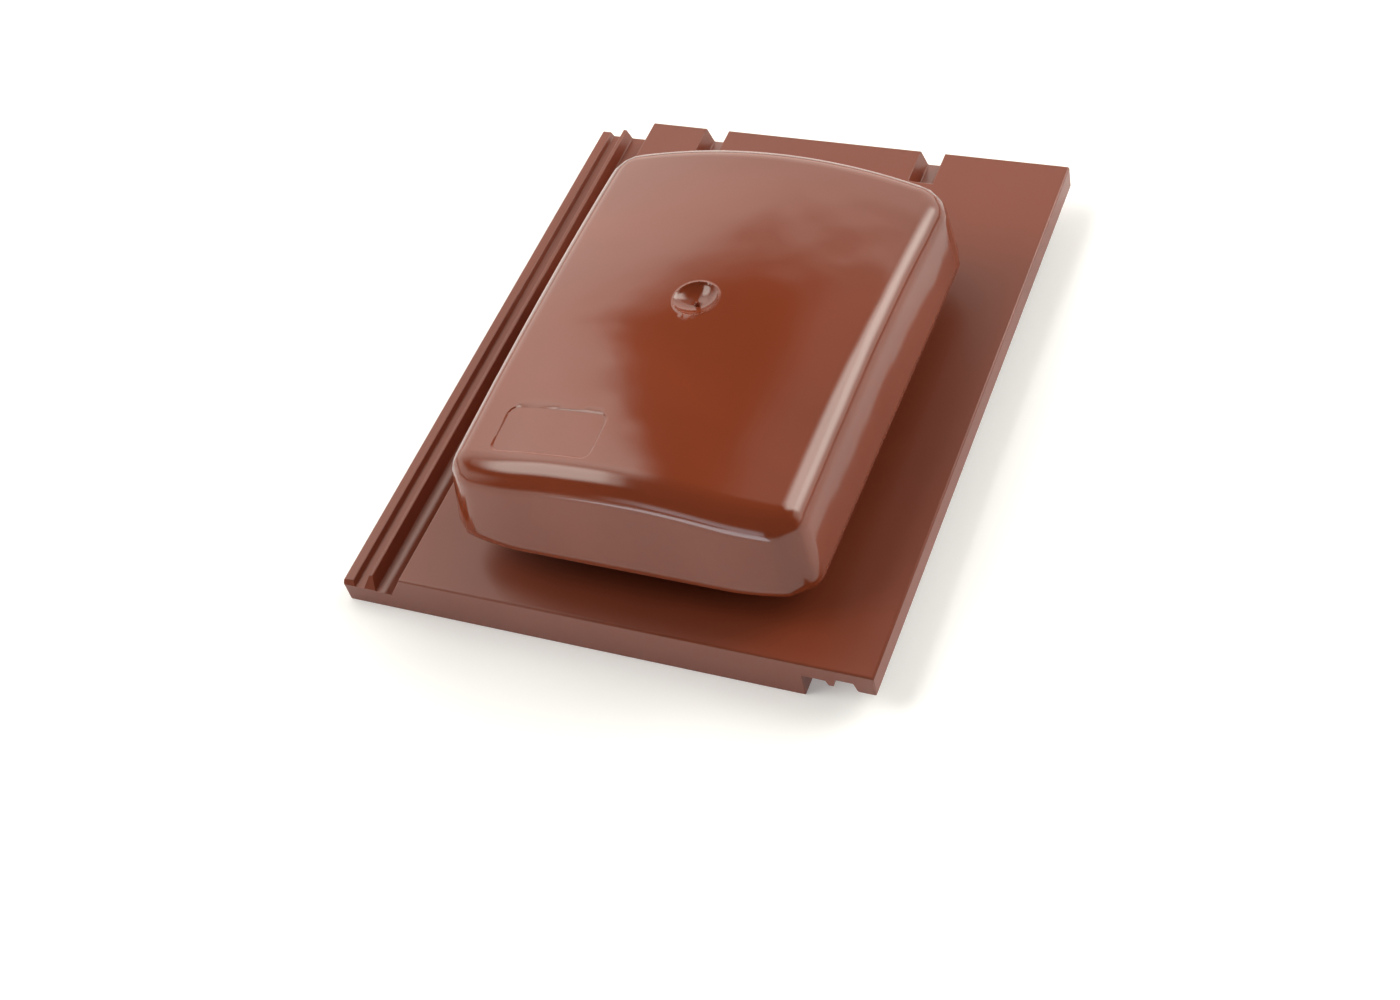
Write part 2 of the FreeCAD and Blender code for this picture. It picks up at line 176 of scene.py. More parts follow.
def finished_mesh(made):
    """Plain mesh of an object with its modifiers applied."""
    graph = bpy.context.evaluated_depsgraph_get()
    return bpy.data.meshes.new_from_object(made.evaluated_get(graph), preserve_all_data_layers=True,
                                           depsgraph=graph)


def mesh_object(name, points, faces, material):
    """Makes a mesh object from points and faces, with its faces turned outwards."""
    mesh = bpy.data.meshes.new(name)
    mesh.from_pydata([tuple(p) for p in points], [], faces)
    work = bmesh.new()
    work.from_mesh(mesh)
    bmesh.ops.remove_doubles(work, verts=work.verts, dist=SAME_PLACE)
    bmesh.ops.recalc_face_normals(work, faces=work.faces)
    work.to_mesh(mesh)
    work.free()
    mesh.materials.append(material)
    return smooth_object(name, mesh)


def bridge(first, second):
    """Quads between two closed rows of point numbers of the same length."""
    count = len(first)
    return [(first[i], first[(i + 1) % count], second[(i + 1) % count], second[i])
            for i in range(count)]


def with_height(plan, z):
    """Points from their places in plan and their heights."""
    return np.concatenate([plan, z[..., None]], -1)


# ---- shape of the hood

OUTLINE_PARTS = 10              # lines and arcs of the outline in plan, counted from the front line
BACK_PART = 5                   # the part along the back; the ones after it mirror those before it
OUTLINE_SAMPLES = 8000          # places on the outline that the dome's grid lines are picked from
OUTLINE_STEP = 1e-3             # step over which the outline's direction is measured
BELOW_EDGE = 0.004              # how far the drafted wall is laid out below its back edge
ABOVE_TOP = 0.002               # and above the dome
MEETING_ROUNDS = 12             # rounds of nearing until two surfaces meet
EDGE_ROUNDS = 6
SHOULDER_ROUNDS = 3
WALL_GUESS = 0.02               # first guess of the wall's end, below the dome's top
SHOULDER_GUESS = 0.009          # first guess of the shoulder's start below the dome
DRAFT_RISE = 0.004              # rise over which the wall's draft is measured
TINY = 1e-4                     # step over which the dome's slope is measured

RIM_OFFSET = 0.0002             # the fine rim stands this far outside the gate mark
RIM_SPREAD = 0.00055
NUB_FOOT = 0.0003               # the nub's foot reaches this far past its radius
NUB_SLOPE = 0.0008
BOSS_MARGIN = 0.0012            # the boss inside is this much larger than the gate mark
BOSS_SLOPE = 0.0024

GRID_ACROSS = 0.0032            # widest steps of the dome's grid
GRID_ALONG = 0.0034
GATE_GRID = (0.0016, 0.0006)    # reach past the gate mark, step
NUB_GRID = (0.0022, 0.0003)     # reach from the middle, step
PANEL_GRID = (0.0012, 0.0055, 0.0005)   # reach outside and inside the panel's edge, step
INNER_SKIP = 4                  # the inner skin takes every fourth line of the grid

EDGE_ROUNDING = ((0.0005, 0.0), (0.00015, 0.00015), (0.0, 0.0005))     # inset and lift of the rows
SHOULDER_START = 0.95           # the wall's last row lies this share of the shoulder below the dome
OUTER_WALL = (0.12, 0.3, 0.5, 0.7, 0.88, 1.0)
INNER_WALL = (0.35, 0.7, 1.0)
OUTER_SHOULDER = np.concatenate([np.linspace(0.0, 0.76, 13)[:-1], np.linspace(0.76, 1.0, 13)])
INNER_SHOULDER = np.linspace(0.0, 1.0, 8)
PLACE_DIGITS = 9                # digits by which outline places of the two skins are matched


def plan_outline(hood, half, front, back, corner, back_corner, s):
    """Points of the hood's outline in plan; s runs over its ten lines and arcs, one for each."""
    side_turn = math.pi / 2 - hood.taper
    back_turn = math.pi - hood.back_turn

    def arc(start, radius, turn0, turn1):
        return np.stack([start[0] + radius * (np.sin(turn1) - math.sin(turn0)),
                         start[1] + radius * (math.cos(turn0) - np.cos(turn1))], -1)

    bow = arc((0, 0), hood.bow_radius, 0.0, hood.bow_turn)
    bend = arc((0, 0), corner, hood.bow_turn, side_turn)
    p0 = np.array((half - bow[0] - bend[0], -front))
    p1 = p0 + bow
    p2 = p1 + bend
    dx, dy = arc((0, 0), back_corner, side_turn, back_turn)
    rise = math.tan(hood.back_turn / 2)
    cs, sn = math.cos(side_turn), math.sin(side_turn)
    side = (back - p2[1] - dy - (p2[0] + dx) * rise) / (sn + cs * rise)
    p3 = p2 + side * np.array((cs, sn))
    p4 = p3 + np.array((dx, dy))
    sag = back - p4[1]
    radius = (p4[0] ** 2 + sag ** 2) / (2 * sag)
    middle = back - radius
    first_angle = math.atan2(p4[1] - middle, p4[0])

    s = np.asarray(s, float) % OUTLINE_PARTS
    part = np.floor(s).astype(int)
    t = s - part
    mirrored = part > BACK_PART
    part = np.where(mirrored, OUTLINE_PARTS - part, part)
    t = np.where(mirrored, 1 - t, t)
    angle = first_angle + t * (math.pi - 2 * first_angle)
    choices = [
        np.stack([-p0[0] + 2 * p0[0] * t, np.full_like(t, -front)], -1),
        arc(p0, hood.bow_radius, 0.0, t * hood.bow_turn),
        arc(p1, corner, hood.bow_turn, hood.bow_turn + t * (side_turn - hood.bow_turn)),
        p2 + t[..., None] * (p3 - p2),
        arc(p3, back_corner, side_turn, side_turn + t * (back_turn - side_turn)),
        np.stack([radius * np.cos(angle), middle + radius * np.sin(angle)], -1),
    ]
    found = np.zeros(s.shape + (2,))
    for index, points in enumerate(choices):
        found = np.where((part == index)[..., None], points, found)
    found[..., 0] = np.where(mirrored, -found[..., 0], found[..., 0])
    return found


def wall_points(hood, s, z, grow):
    """Points of the drafted wall at outline places s and heights z, moved outwards by grow."""
    low = hood.deck + hood.gap_back - BELOW_EDGE
    high = hood.deck + hood.top + ABOVE_TOP
    ends = []
    for level, corner, back_corner in ((low, hood.corner_low, hood.back_corner_low),
                                       (high, hood.corner_high, hood.back_corner_high)):
        up = level - hood.deck - hood.gap_front
        ends.append(plan_outline(
            hood,
            hood.half_width + grow - up * math.tan(hood.side_draft),
            hood.front + grow - up * math.tan(hood.front_draft),
            hood.back + grow - up * math.tan(hood.back_draft),
            corner + grow, back_corner + grow, s))
    share = ((np.asarray(z) - low) / (high - low))[..., None]
    return ends[0] * (1 - share) + ends[1] * share


def dome_radii(hood):
    """Radii of the dome's two arcs, across it and along it."""
    return [(reach ** 2 + fall ** 2) / (2 * fall)
            for reach, fall in ((hood.half_width, hood.dome_across), (hood.front, hood.dome_along))]


def dome_height(hood, x, y, lowered):
    """Height of the dome over a place, measured from the hood's middle."""
    across, along = dome_radii(hood)
    reach = along - across + np.sqrt(across ** 2 - x ** 2)
    return hood.deck + hood.top - lowered - along + np.sqrt(reach ** 2 - (y - hood.dome_peak) ** 2)


def edge_height(hood, y):
    """Height of the hood's lower edge, which slopes down a little to the back."""
    slope = (hood.gap_front - hood.gap_back) / (hood.front + hood.back)
    return hood.deck + (hood.gap_front + hood.gap_back) / 2 - y * slope


def on_wall_below_dome(hood, s, grow, lowered):
    """Height at which the wall meets the dome surface when that is lowered."""
    z = np.full(s.shape, hood.deck + hood.top - WALL_GUESS)
    for _ in range(MEETING_ROUNDS):
        place = wall_points(hood, s, z, grow)
        z = dome_height(hood, place[..., 0], place[..., 1], lowered)
    return z


def on_wall_at_edge(hood, s, grow, lift):
    """Points where the wall meets the lower edge, or a little above it."""
    z = np.full(s.shape, hood.deck + hood.gap_front)
    for _ in range(EDGE_ROUNDS):
        place = wall_points(hood, s, z, grow)
        z = edge_height(hood, place[..., 1]) + lift
    return with_height(place, z)


def inward(hood, s, z, grow):
    """Inward direction of the outline in plan."""
    ahead = (wall_points(hood, s + OUTLINE_STEP, z, grow)
             - wall_points(hood, s - OUTLINE_STEP, z, grow))
    ahead /= np.linalg.norm(ahead, axis=-1)[..., None]
    return np.stack([-ahead[..., 1], ahead[..., 0]], -1)


def shoulder_rows(hood, s, grow, lowered, radius, shares):
    """Rows of the rounded shoulder at shares of its turn, from the wall (0) to the dome (1)."""
    z_wall = on_wall_below_dome(hood, s, grow, lowered + SHOULDER_GUESS)
    for _ in range(SHOULDER_ROUNDS):
        base = wall_points(hood, s, z_wall, grow)
        n = inward(hood, s, z_wall, grow)
        above = wall_points(hood, s, z_wall + DRAFT_RISE, grow)
        draft = np.arctan2(((above - base) * n).sum(-1), DRAFT_RISE)
        lean = np.zeros(s.shape)
        a_mid = radius * np.cos(draft)
        for _ in range(MEETING_ROUNDS):
            a_top = a_mid - radius * np.sin(lean)
            here = base + a_top[..., None] * n
            there = here + TINY * n
            z_here = dome_height(hood, here[..., 0], here[..., 1], lowered)
            z_there = dome_height(hood, there[..., 0], there[..., 1], lowered)
            lean = np.arctan2(z_there - z_here, TINY)
            z_mid = z_here - radius * np.cos(lean)
            a_mid = ((z_mid + radius * np.sin(draft) - z_wall) * np.tan(draft)
                     + radius * np.cos(draft))
        z_wall = z_mid + radius * np.sin(draft)
    rows = []
    for share in shares:
        angle = draft + (math.pi / 2 - lean - draft) * share
        place = base + (a_mid - radius * np.cos(angle))[..., None] * n
        rows.append(with_height(place, z_mid + radius * np.sin(angle)))
    return rows


def smooth(value):
    """Rises softly from 0 to 1."""
    value = np.clip(value, 0.0, 1.0)
    return value * value * (3 - 2 * value)


def dome_marks(details, x, y):
    """Height that the gate mark and the bare panel add to the dome."""
    r = np.hypot(x, y)
    half = details.gate_width / 2
    ball = (half ** 2 + details.gate_depth ** 2) / (2 * details.gate_depth)
    dish = ball - details.gate_depth - np.sqrt(np.maximum(ball ** 2 - r ** 2, 0.0))
    depth = np.where(r < half, dish, 0.0)
    rim = details.gate_rim * np.exp(-((r - half - RIM_OFFSET) / RIM_SPREAD) ** 2)
    nub = details.nub_height * smooth((details.nub_radius + NUB_FOOT - r) / NUB_SLOPE)
    dx = np.abs(x - details.panel_x) - details.panel_width / 2 + details.panel_corner
    dy = np.abs(y - details.panel_y) - details.panel_height / 2 + details.panel_corner
    outside = np.hypot(np.maximum(dx, 0.0), np.maximum(dy, 0.0))
    distance = outside + np.minimum(np.maximum(dx, dy), 0.0) - details.panel_corner
    panel = details.panel_depth * smooth(0.5 - distance / details.panel_edge)
    return depth + rim + nub - panel


def gate_boss(details, x, y):
    """Height that the boss under the gate mark adds to the inner skin, to keep the wall whole."""
    r = np.hypot(x, y)
    return -details.gate_depth * smooth((details.gate_width / 2 + BOSS_MARGIN - r) / BOSS_SLOPE)


def spaced(start, end, pieces, coarse):
    """Places from start to end: fine in the given (from, to, step) stretches, coarse elsewhere."""
    places = [start]

    def go_on(to, step):
        count = max(1, int(math.ceil((to - places[-1]) / step)))
        places.extend(np.linspace(places[-1], to, count + 1)[1:])

    for a, b, step in sorted(pieces):
        a, b = max(a, places[-1]), min(b, end)
        if a > places[-1]:
            go_on(a, coarse)
        if b > a:
            go_on(b, step)
    go_on(end, coarse)
    return np.array(places)


def side_places(hood, details):
    """Outline places of the four sides, spaced so that the dome's grid is fine at its marks."""
    dense = np.linspace(0, OUTLINE_PARTS, OUTLINE_SAMPLES + 1)[:-1]
    loop = shoulder_rows(hood, dense, 0.0, 0.0, hood.shoulder, (0.0, 1.0))[-1]
    corners = [int(np.argmax(sign_x * loop[:, 0] + sign_y * loop[:, 1]))
               for sign_x, sign_y in ((-1, -1), (1, -1), (1, 1), (-1, 1))]

    def side(number, axis):
        """Outline places along the side after a corner, and their distances along an axis."""
        first, last = corners[number], corners[(number + 1) % 4]
        if last < first:
            last += len(dense)
        index = np.arange(first, last + 1)
        along = loop[index % len(dense), axis]
        if along[-1] < along[0]:
            index, along = index[::-1], along[::-1]
        return index * OUTLINE_PARTS / len(dense), along

    def places_at(wanted, places, along):
        return np.interp(wanted, np.maximum.accumulate(along), places)

    gate_reach, gate_step = GATE_GRID
    nub_reach, nub_step = NUB_GRID
    gate_reach += details.gate_width / 2
    gate_parts = [(-gate_reach, -nub_reach, gate_step), (-nub_reach, nub_reach, nub_step),
                  (nub_reach, gate_reach, gate_step)]

    def panel_parts(middle, size):
        outside, inside, step = PANEL_GRID
        near, far = middle - size / 2, middle + size / 2
        return [(near - outside, near + inside, step), (far - inside, far + outside, step)]

    def spread(along, parts, coarse):
        """Fine and coarse steps over a side, and the share of the side at each one."""
        steps = spaced(along[0], along[-1], parts + gate_parts, coarse)
        return steps, (steps - steps[0]) / (steps[-1] - steps[0])

    def at_shares(share, places, along):
        return places_at(along[0] + share * (along[-1] - along[0]), places, along)

    front, right, back, left = (side(number, number % 2) for number in range(4))
    xs, x_share = spread(front[1], panel_parts(details.panel_x, details.panel_width), GRID_ACROSS)
    ys, y_share = spread(right[1], panel_parts(details.panel_y, details.panel_height), GRID_ALONG)
    return (places_at(xs, *front), places_at(ys, *right), at_shares(x_share, *back),
            at_shares(y_share, *left), x_share, y_share)


def grid_inside(sides, x_share, y_share):
    """Plan points of a grid that fills a closed loop, blended from the loop's four sides."""
    front, right, back, left = sides
    u = x_share[:, None, None]
    v = y_share[None, :, None]
    across = (1 - v) * front[:, None, :] + v * back[:, None, :]
    along = (1 - u) * left[None, :, :] + u * right[None, :, :]
    corners = ((1 - u) * (1 - v) * front[0] + u * (1 - v) * front[-1]
               + (1 - u) * v * back[0] + u * v * back[-1])
    return across + along - corners


def hood_mesh(hood, details):
    """Points and faces of the hood's shell: outside, lower edge and inside."""
    front, right, back, left, x_share, y_share = side_places(hood, details)
    nx, ny = len(x_share), len(y_share)
    points, faces = [], []

    def add(rows):
        """Adds points and returns their numbers."""
        start = len(points)
        points.extend(rows.tolist())
        return list(range(start, start + len(rows)))

    def wall_rows(s, grow, rounding, shares):
        """Rows of the wall from its lower edge up to the shoulder."""
        rows = [on_wall_at_edge(hood, s, grow - inset, lift) for inset, lift in rounding]
        z_low = rows[-1][:, 2]
        z_top = on_wall_below_dome(hood, s, grow, SHOULDER_START * hood.shoulder)
        for share in shares:
            z = z_low + (z_top - z_low) * share
            rows.append(with_height(wall_points(hood, s, z, grow), z))
        return rows

    def skin(pick_x, pick_y, inset, rounding, wall_shares, shoulder_shares, marks):
        """One skin of the shell; returns its lowest row of point numbers and their places."""
        f, r, b, l = front[pick_x], right[pick_y], back[pick_x], left[pick_y]
        s = np.concatenate([f[:-1], r[:-1], b[::-1][:-1], l[::-1][:-1]])
        rows = wall_rows(s, -inset, rounding, wall_shares)
        rows += shoulder_rows(hood, s, -inset, inset, hood.shoulder - inset, shoulder_shares)
        for row in rows[-len(shoulder_shares):]:
            row[:, 2] += marks(details, row[:, 0], row[:, 1])
        numbers = [add(row) for row in rows[:-1]]
        for low, high in zip(numbers[:-1], numbers[1:]):
            faces.extend(bridge(low, high))
        top = rows[-1][:, :2]
        mx, my = len(pick_x), len(pick_y)
        sides = [top[:mx], top[mx - 1:mx + my - 1],
                 top[mx + my - 2:2 * mx + my - 2][::-1],
                 np.concatenate([top[2 * mx + my - 3:], top[:1]])[::-1]]
        plan = grid_inside(sides, x_share[pick_x], y_share[pick_y])
        z = dome_height(hood, plan[..., 0], plan[..., 1], inset)
        z = z + marks(details, plan[..., 0], plan[..., 1])
        number = np.array(add(with_height(plan, z).reshape(-1, 3))).reshape(mx, my)
        for i in range(mx - 1):
            for j in range(my - 1):
                faces.append((number[i, j], number[i + 1, j],
                              number[i + 1, j + 1], number[i, j + 1]))
        rim = np.concatenate([number[:-1, 0], number[-1, :-1],
                              number[1:, -1][::-1], number[0, 1:][::-1]])
        faces.extend(bridge(numbers[-1], rim.tolist()))
        return numbers[0], [round(float(place), PLACE_DIGITS) for place in s]

    outer, outer_places = skin(np.arange(nx), np.arange(ny), 0.0, EDGE_ROUNDING,
                               OUTER_WALL, OUTER_SHOULDER, dome_marks)
    some_x, some_y = (np.unique(np.append(np.arange(0, n, INNER_SKIP), n - 1)) for n in (nx, ny))
    inner, inner_places = skin(some_x, some_y, hood.wall, ((0.0, 0.0),),
                               INNER_WALL, INNER_SHOULDER, gate_boss)
    number_of = {place: number for number, place in enumerate(outer_places)}
    match = [number_of[place] for place in inner_places]
    count = len(outer)
    for k, first in enumerate(match):
        after = (k + 1) % len(match)
        run = [outer[(first + i) % count] for i in range((match[after] - first) % count + 1)]
        faces.append(tuple(run + [inner[after], inner[k]]))
    points = np.array(points) + np.array((hood.centre_x, hood.centre_y, 0.0))
    return points, [tuple(int(i) for i in face) for face in faces]


# ---- shape of the tile

TILE_SAME_PLACE = 1e-6          # points of the tile closer than this are one
FLAT_TURN = math.radians(0.4)   # faces that turn by less than this are one
SHORTEST_EDGE = 0.012           # only edges longer than this are rounded
ROUNDING_STEPS = 3


def softened_tile(name, source, size, material):
    """Copy of the solid tile with its long sharp edges rounded a little, as mouldings have them."""
    work = bmesh.new()
    work.from_mesh(source.data)
    work.transform(source.matrix_world)
    bmesh.ops.remove_doubles(work, verts=work.verts, dist=TILE_SAME_PLACE)
    bmesh.ops.dissolve_limit(work, angle_limit=FLAT_TURN, verts=work.verts, edges=work.edges)
    sharp = [edge for edge in work.edges if edge.is_manifold and edge.calc_length() > SHORTEST_EDGE
             and edge.calc_face_angle(0.0) > SHARP_TURN]
    bmesh.ops.bevel(work, geom=sharp, offset=size, offset_type="OFFSET", segments=ROUNDING_STEPS,
                    profile=0.5, affect="EDGES", clamp_overlap=False, material=-1)
    bmesh.ops.recalc_face_normals(work, faces=work.faces)
    mesh = bpy.data.meshes.new(name)
    work.to_mesh(mesh)
    work.free()
    made = smooth_object(name, mesh)
    made.modifiers.new("Even", "WEIGHTED_NORMAL").keep_sharp = True
    even = finished_mesh(made)
    made.modifiers.clear()
    made.data = even
    even.materials.clear()
    even.materials.append(material)
    return made


# ---- node trees


class Tree:
    """Short way to add nodes and links to one node tree."""

    def __init__(self, tree):
        self.tree = tree

    def node(self, kind, values=None, **settings):
        """Adds a node, with its settings and what its inputs get."""
        made = self.tree.nodes.new(kind)
        for key, value in settings.items():
            setattr(made, key, value)
        self.feed(made, values or {})
        return made

    def feed(self, made, values):
        """Links the values that are sockets to a node's inputs, and sets the others."""
        for key, value in values.items():
            if isinstance(value, bpy.types.NodeSocket):
                self.tree.links.new(value, made.inputs[key])
            else:
                made.inputs[key].default_value = value

    def math(self, operation, *values):
        values = dict(enumerate(values))
        return self.node("ShaderNodeMath", values, operation=operation).outputs[0]


def moulded_surface_group():
    """Shader group for a moulded plastic skin: flow tone, gloss and long shallow waves."""
    name = "Moulded surface"
    if name in bpy.data.node_groups:
        return bpy.data.node_groups[name]
    group = bpy.data.node_groups.new(name, "ShaderNodeTree")
    face = group.interface
    for label, kind, default in (
        ("Base", "NodeSocketColor", (0.24, 0.05, 0.02, 1.0)),
        ("Deep", "NodeSocketColor", (0.2, 0.04, 0.015, 1.0)),
        ("Gloss", "NodeSocketFloat", 0.2),
        ("Flow Scale", "NodeSocketFloat", 9.0),
        ("Wave Strength", "NodeSocketFloat", 0.35),
        ("Grain Strength", "NodeSocketFloat", 0.02),
    ):
        face.new_socket(name=label, in_out="INPUT", socket_type=kind).default_value = default
    for label, way, kind in (("Vector", "INPUT", "NodeSocketVector"),
                             ("Color", "OUTPUT", "NodeSocketColor"),
                             ("Roughness", "OUTPUT", "NodeSocketFloat"),
                             ("Normal", "OUTPUT", "NodeSocketVector")):
        face.new_socket(name=label, in_out=way, socket_type=kind)
    t = Tree(group)
    given = t.node("NodeGroupInput").outputs
    flow = t.node("ShaderNodeTexNoise", {"Vector": given["Vector"], "Scale": given["Flow Scale"],
                                         "Detail": 3.0, "Roughness": 0.5, "Distortion": 0.6})
    tone = t.node("ShaderNodeMapRange", {"Value": flow.outputs["Fac"],
                                         "From Min": 0.35, "From Max": 0.7})
    mix = t.node("ShaderNodeMix", {"Factor": tone.outputs["Result"], "A": given["Base"],
                                   "B": given["Deep"]}, data_type="RGBA")
    fine = t.node("ShaderNodeTexNoise", {"Vector": given["Vector"], "Scale": 420.0, "Detail": 2.0,
                                         "Roughness": 0.6})
    spread = t.node("ShaderNodeMapRange", {"Value": fine.outputs["Fac"],
                                           "To Min": -0.012, "To Max": 0.018})
    broad = t.node("ShaderNodeMapRange", {"Value": flow.outputs["Fac"],
                                          "To Min": -0.04, "To Max": 0.04})
    rough = t.math("ADD", t.math("ADD", given["Gloss"], spread.outputs["Result"]),
                   broad.outputs["Result"])
    wave = t.node("ShaderNodeTexNoise", {"Vector": given["Vector"], "Scale": 22.0, "Detail": 1.5,
                                         "Roughness": 0.45})
    swell = t.node("ShaderNodeTexNoise", {"Vector": given["Vector"], "Scale": 8.0, "Detail": 0.5,
                                          "Roughness": 0.4})
    broad_bump = t.node("ShaderNodeBump", {"Strength": given["Wave Strength"], "Distance": 0.004,
                                           "Height": swell.outputs["Fac"]})
    long_bump = t.node("ShaderNodeBump", {"Strength": given["Wave Strength"], "Distance": 0.0009,
                                          "Height": wave.outputs["Fac"],
                                          "Normal": broad_bump.outputs["Normal"]})
    grain = t.node("ShaderNodeBump", {"Strength": given["Grain Strength"], "Distance": 0.00006,
                                      "Height": fine.outputs["Fac"],
                                      "Normal": long_bump.outputs["Normal"]})
    t.node("NodeGroupOutput", {"Color": mix.outputs["Result"], "Roughness": rough,
                               "Normal": grain.outputs["Normal"]})
    return group


PLASTIC_IOR = 1.5
TILE_FLOW, TILE_WAVE = 7.0, 0.25    # size of the flow pattern and share of the waves, on the tile
HOOD_FLOW, HOOD_WAVE = 6.0, 1.0     # and on the hood


def plastic(name, look, gloss, flow_scale, wave, centre):
    """Material of one moulding, with its pattern centred on that moulding."""
    if name in bpy.data.materials:
        return bpy.data.materials[name]
    material = bpy.data.materials.new(name)
    material.use_nodes = True
    t = Tree(material.node_tree)
    place = t.node("ShaderNodeTexCoord").outputs["Object"]
    mapping = t.node("ShaderNodeMapping", {"Vector": place,
                                           "Location": (-centre[0], -centre[1], 0.0)})
    surface = t.node("ShaderNodeGroup", {
        "Vector": mapping.outputs["Vector"], "Base": (*look.base, 1.0), "Deep": (*look.deep, 1.0),
        "Gloss": gloss, "Flow Scale": flow_scale, "Wave Strength": look.wave * wave,
    }, node_tree=moulded_surface_group())
    t.feed(material.node_tree.nodes["Principled BSDF"], {
        "IOR": PLASTIC_IOR, "Base Color": surface.outputs["Color"],
        "Roughness": surface.outputs["Roughness"], "Normal": surface.outputs["Normal"],
    })
    return material


def hood_plastic(context):
    """Plastic of the hood and its fittings."""
    hood, look = context.scene.tilevent_hood, context.scene.tilevent_plastic
    return plastic("hood_plastic", look, look.hood_gloss, HOOD_FLOW, HOOD_WAVE,
                   (hood.centre_x, hood.centre_y))


PEG_ROOT = 0.001                # a peg begins this far inside its post
POST_SIDES, PEG_SIDES = 40, 28
RIB_POINTS = 24                 # points along a rib, so that its top follows the dome


def fittings_tree():
    """Geometry Nodes tree: four posts with pegs and the ribs that join them, cut to the dome."""
    tree = bpy.data.node_groups.new("Dome fittings", "GeometryNodeTree")
    face = tree.interface
    for label in ("Across", "Along", "Seat", "Post Radius", "Peg Radius", "Peg Length",
                  "Rib Thickness", "Rib Bottom", "Dome Top", "Arch Across", "Arch Along", "Peak",
                  "Centre X", "Centre Y"):
        face.new_socket(name=label, in_out="INPUT", socket_type="NodeSocketFloat")
    face.new_socket(name="Material", in_out="INPUT", socket_type="NodeSocketMaterial")
    face.new_socket(name="Geometry", in_out="OUTPUT", socket_type="NodeSocketGeometry")
    t = Tree(tree)
    given = t.node("NodeGroupInput").outputs
    height = t.math("SUBTRACT", given["Dome Top"], given["Seat"])

    def raised(mesh, lift):
        up = t.node("ShaderNodeCombineXYZ", {"Z": lift})
        moved = t.node("GeometryNodeTransform", {"Geometry": mesh.outputs["Mesh"],
                                                 "Translation": up.outputs["Vector"]})
        return moved.outputs["Geometry"]

    def half(value):
        return t.math("MULTIPLY", value, 0.5)

    grid = t.node("GeometryNodeMeshGrid", {"Size X": given["Across"], "Size Y": given["Along"],
                                           "Vertices X": 2, "Vertices Y": 2})
    post = t.node("GeometryNodeMeshCylinder", {"Vertices": POST_SIDES, "Depth": height,
                                               "Radius": given["Post Radius"]})
    post_up = raised(post, t.math("ADD", given["Seat"], half(height)))
    peg_depth = t.math("ADD", given["Peg Length"], PEG_ROOT)
    peg = t.node("GeometryNodeMeshCylinder", {"Vertices": PEG_SIDES, "Depth": peg_depth,
                                              "Radius": given["Peg Radius"]})
    peg_top = t.math("ADD", given["Seat"], PEG_ROOT)
    peg_up = raised(peg, t.math("SUBTRACT", peg_top, half(peg_depth)))
    one = t.node("GeometryNodeJoinGeometry")
    t.feed(one, {"Geometry": post_up})
    t.feed(one, {"Geometry": peg_up})
    four = t.node("GeometryNodeInstanceOnPoints", {"Points": grid.outputs["Mesh"],
                                                   "Instance": one.outputs["Geometry"]})

    rib_height = t.math("SUBTRACT", given["Dome Top"], given["Rib Bottom"])
    rib_middle = t.math("ADD", given["Rib Bottom"], half(rib_height))
    parts = [four.outputs["Instances"]]
    for lengthwise in (False, True):
        reach = given["Along"] if lengthwise else given["Across"]
        apart = given["Across"] if lengthwise else given["Along"]
        size = t.node("ShaderNodeCombineXYZ", {
            "X": given["Rib Thickness"] if lengthwise else reach,
            "Y": reach if lengthwise else given["Rib Thickness"],
            "Z": rib_height})
        rib = t.node("GeometryNodeMeshCube", {"Size": size.outputs["Vector"],
                                              "Vertices X": 2 if lengthwise else RIB_POINTS,
                                              "Vertices Y": RIB_POINTS if lengthwise else 2,
                                              "Vertices Z": 2})
        offset = t.math("MULTIPLY", apart, -0.5)
        side = "X" if lengthwise else "Y"
        start = t.node("ShaderNodeCombineXYZ", {side: offset, "Z": rib_middle})
        step = t.node("ShaderNodeCombineXYZ", {side: apart})
        pair = t.node("GeometryNodeMeshLine", {"Count": 2, "Offset": step.outputs["Vector"],
                                               "Start Location": start.outputs["Vector"]})
        two = t.node("GeometryNodeInstanceOnPoints", {"Points": pair.outputs["Mesh"],
                                                      "Instance": rib.outputs["Mesh"]})
        parts.append(two.outputs["Instances"])
    joined = t.node("GeometryNodeJoinGeometry")
    for part in parts:
        t.feed(joined, {"Geometry": part})
    real = t.node("GeometryNodeRealizeInstances", {"Geometry": joined.outputs["Geometry"]})

    def square(value):
        return t.math("MULTIPLY", value, value)

    position = t.node("GeometryNodeInputPosition").outputs["Position"]
    where = t.node("ShaderNodeSeparateXYZ", {"Vector": position})
    x, y, z = (where.outputs[k] for k in "XYZ")
    arch = t.math("SQRT", t.math("SUBTRACT", square(given["Arch Across"]), square(x)))
    reach = t.math("ADD", t.math("SUBTRACT", given["Arch Along"], given["Arch Across"]), arch)
    off_peak = t.math("SUBTRACT", y, given["Peak"])
    swing = t.math("SQRT", t.math("SUBTRACT", square(reach), square(off_peak)))
    dome = t.math("ADD", t.math("SUBTRACT", given["Dome Top"], given["Arch Along"]), swing)
    lower = t.math("MINIMUM", z, dome)
    moved = t.node("ShaderNodeCombineXYZ", {"X": t.math("ADD", x, given["Centre X"]),
                                            "Y": t.math("ADD", y, given["Centre Y"]), "Z": lower})
    fitted = t.node("GeometryNodeSetPosition", {"Geometry": real.outputs["Geometry"],
                                                "Position": moved.outputs["Vector"]})
    painted = t.node("GeometryNodeSetMaterial", {"Geometry": fitted.outputs["Geometry"],
                                                 "Material": given["Material"]})
    t.node("NodeGroupOutput", {"Geometry": painted.outputs["Geometry"]})
    return tree


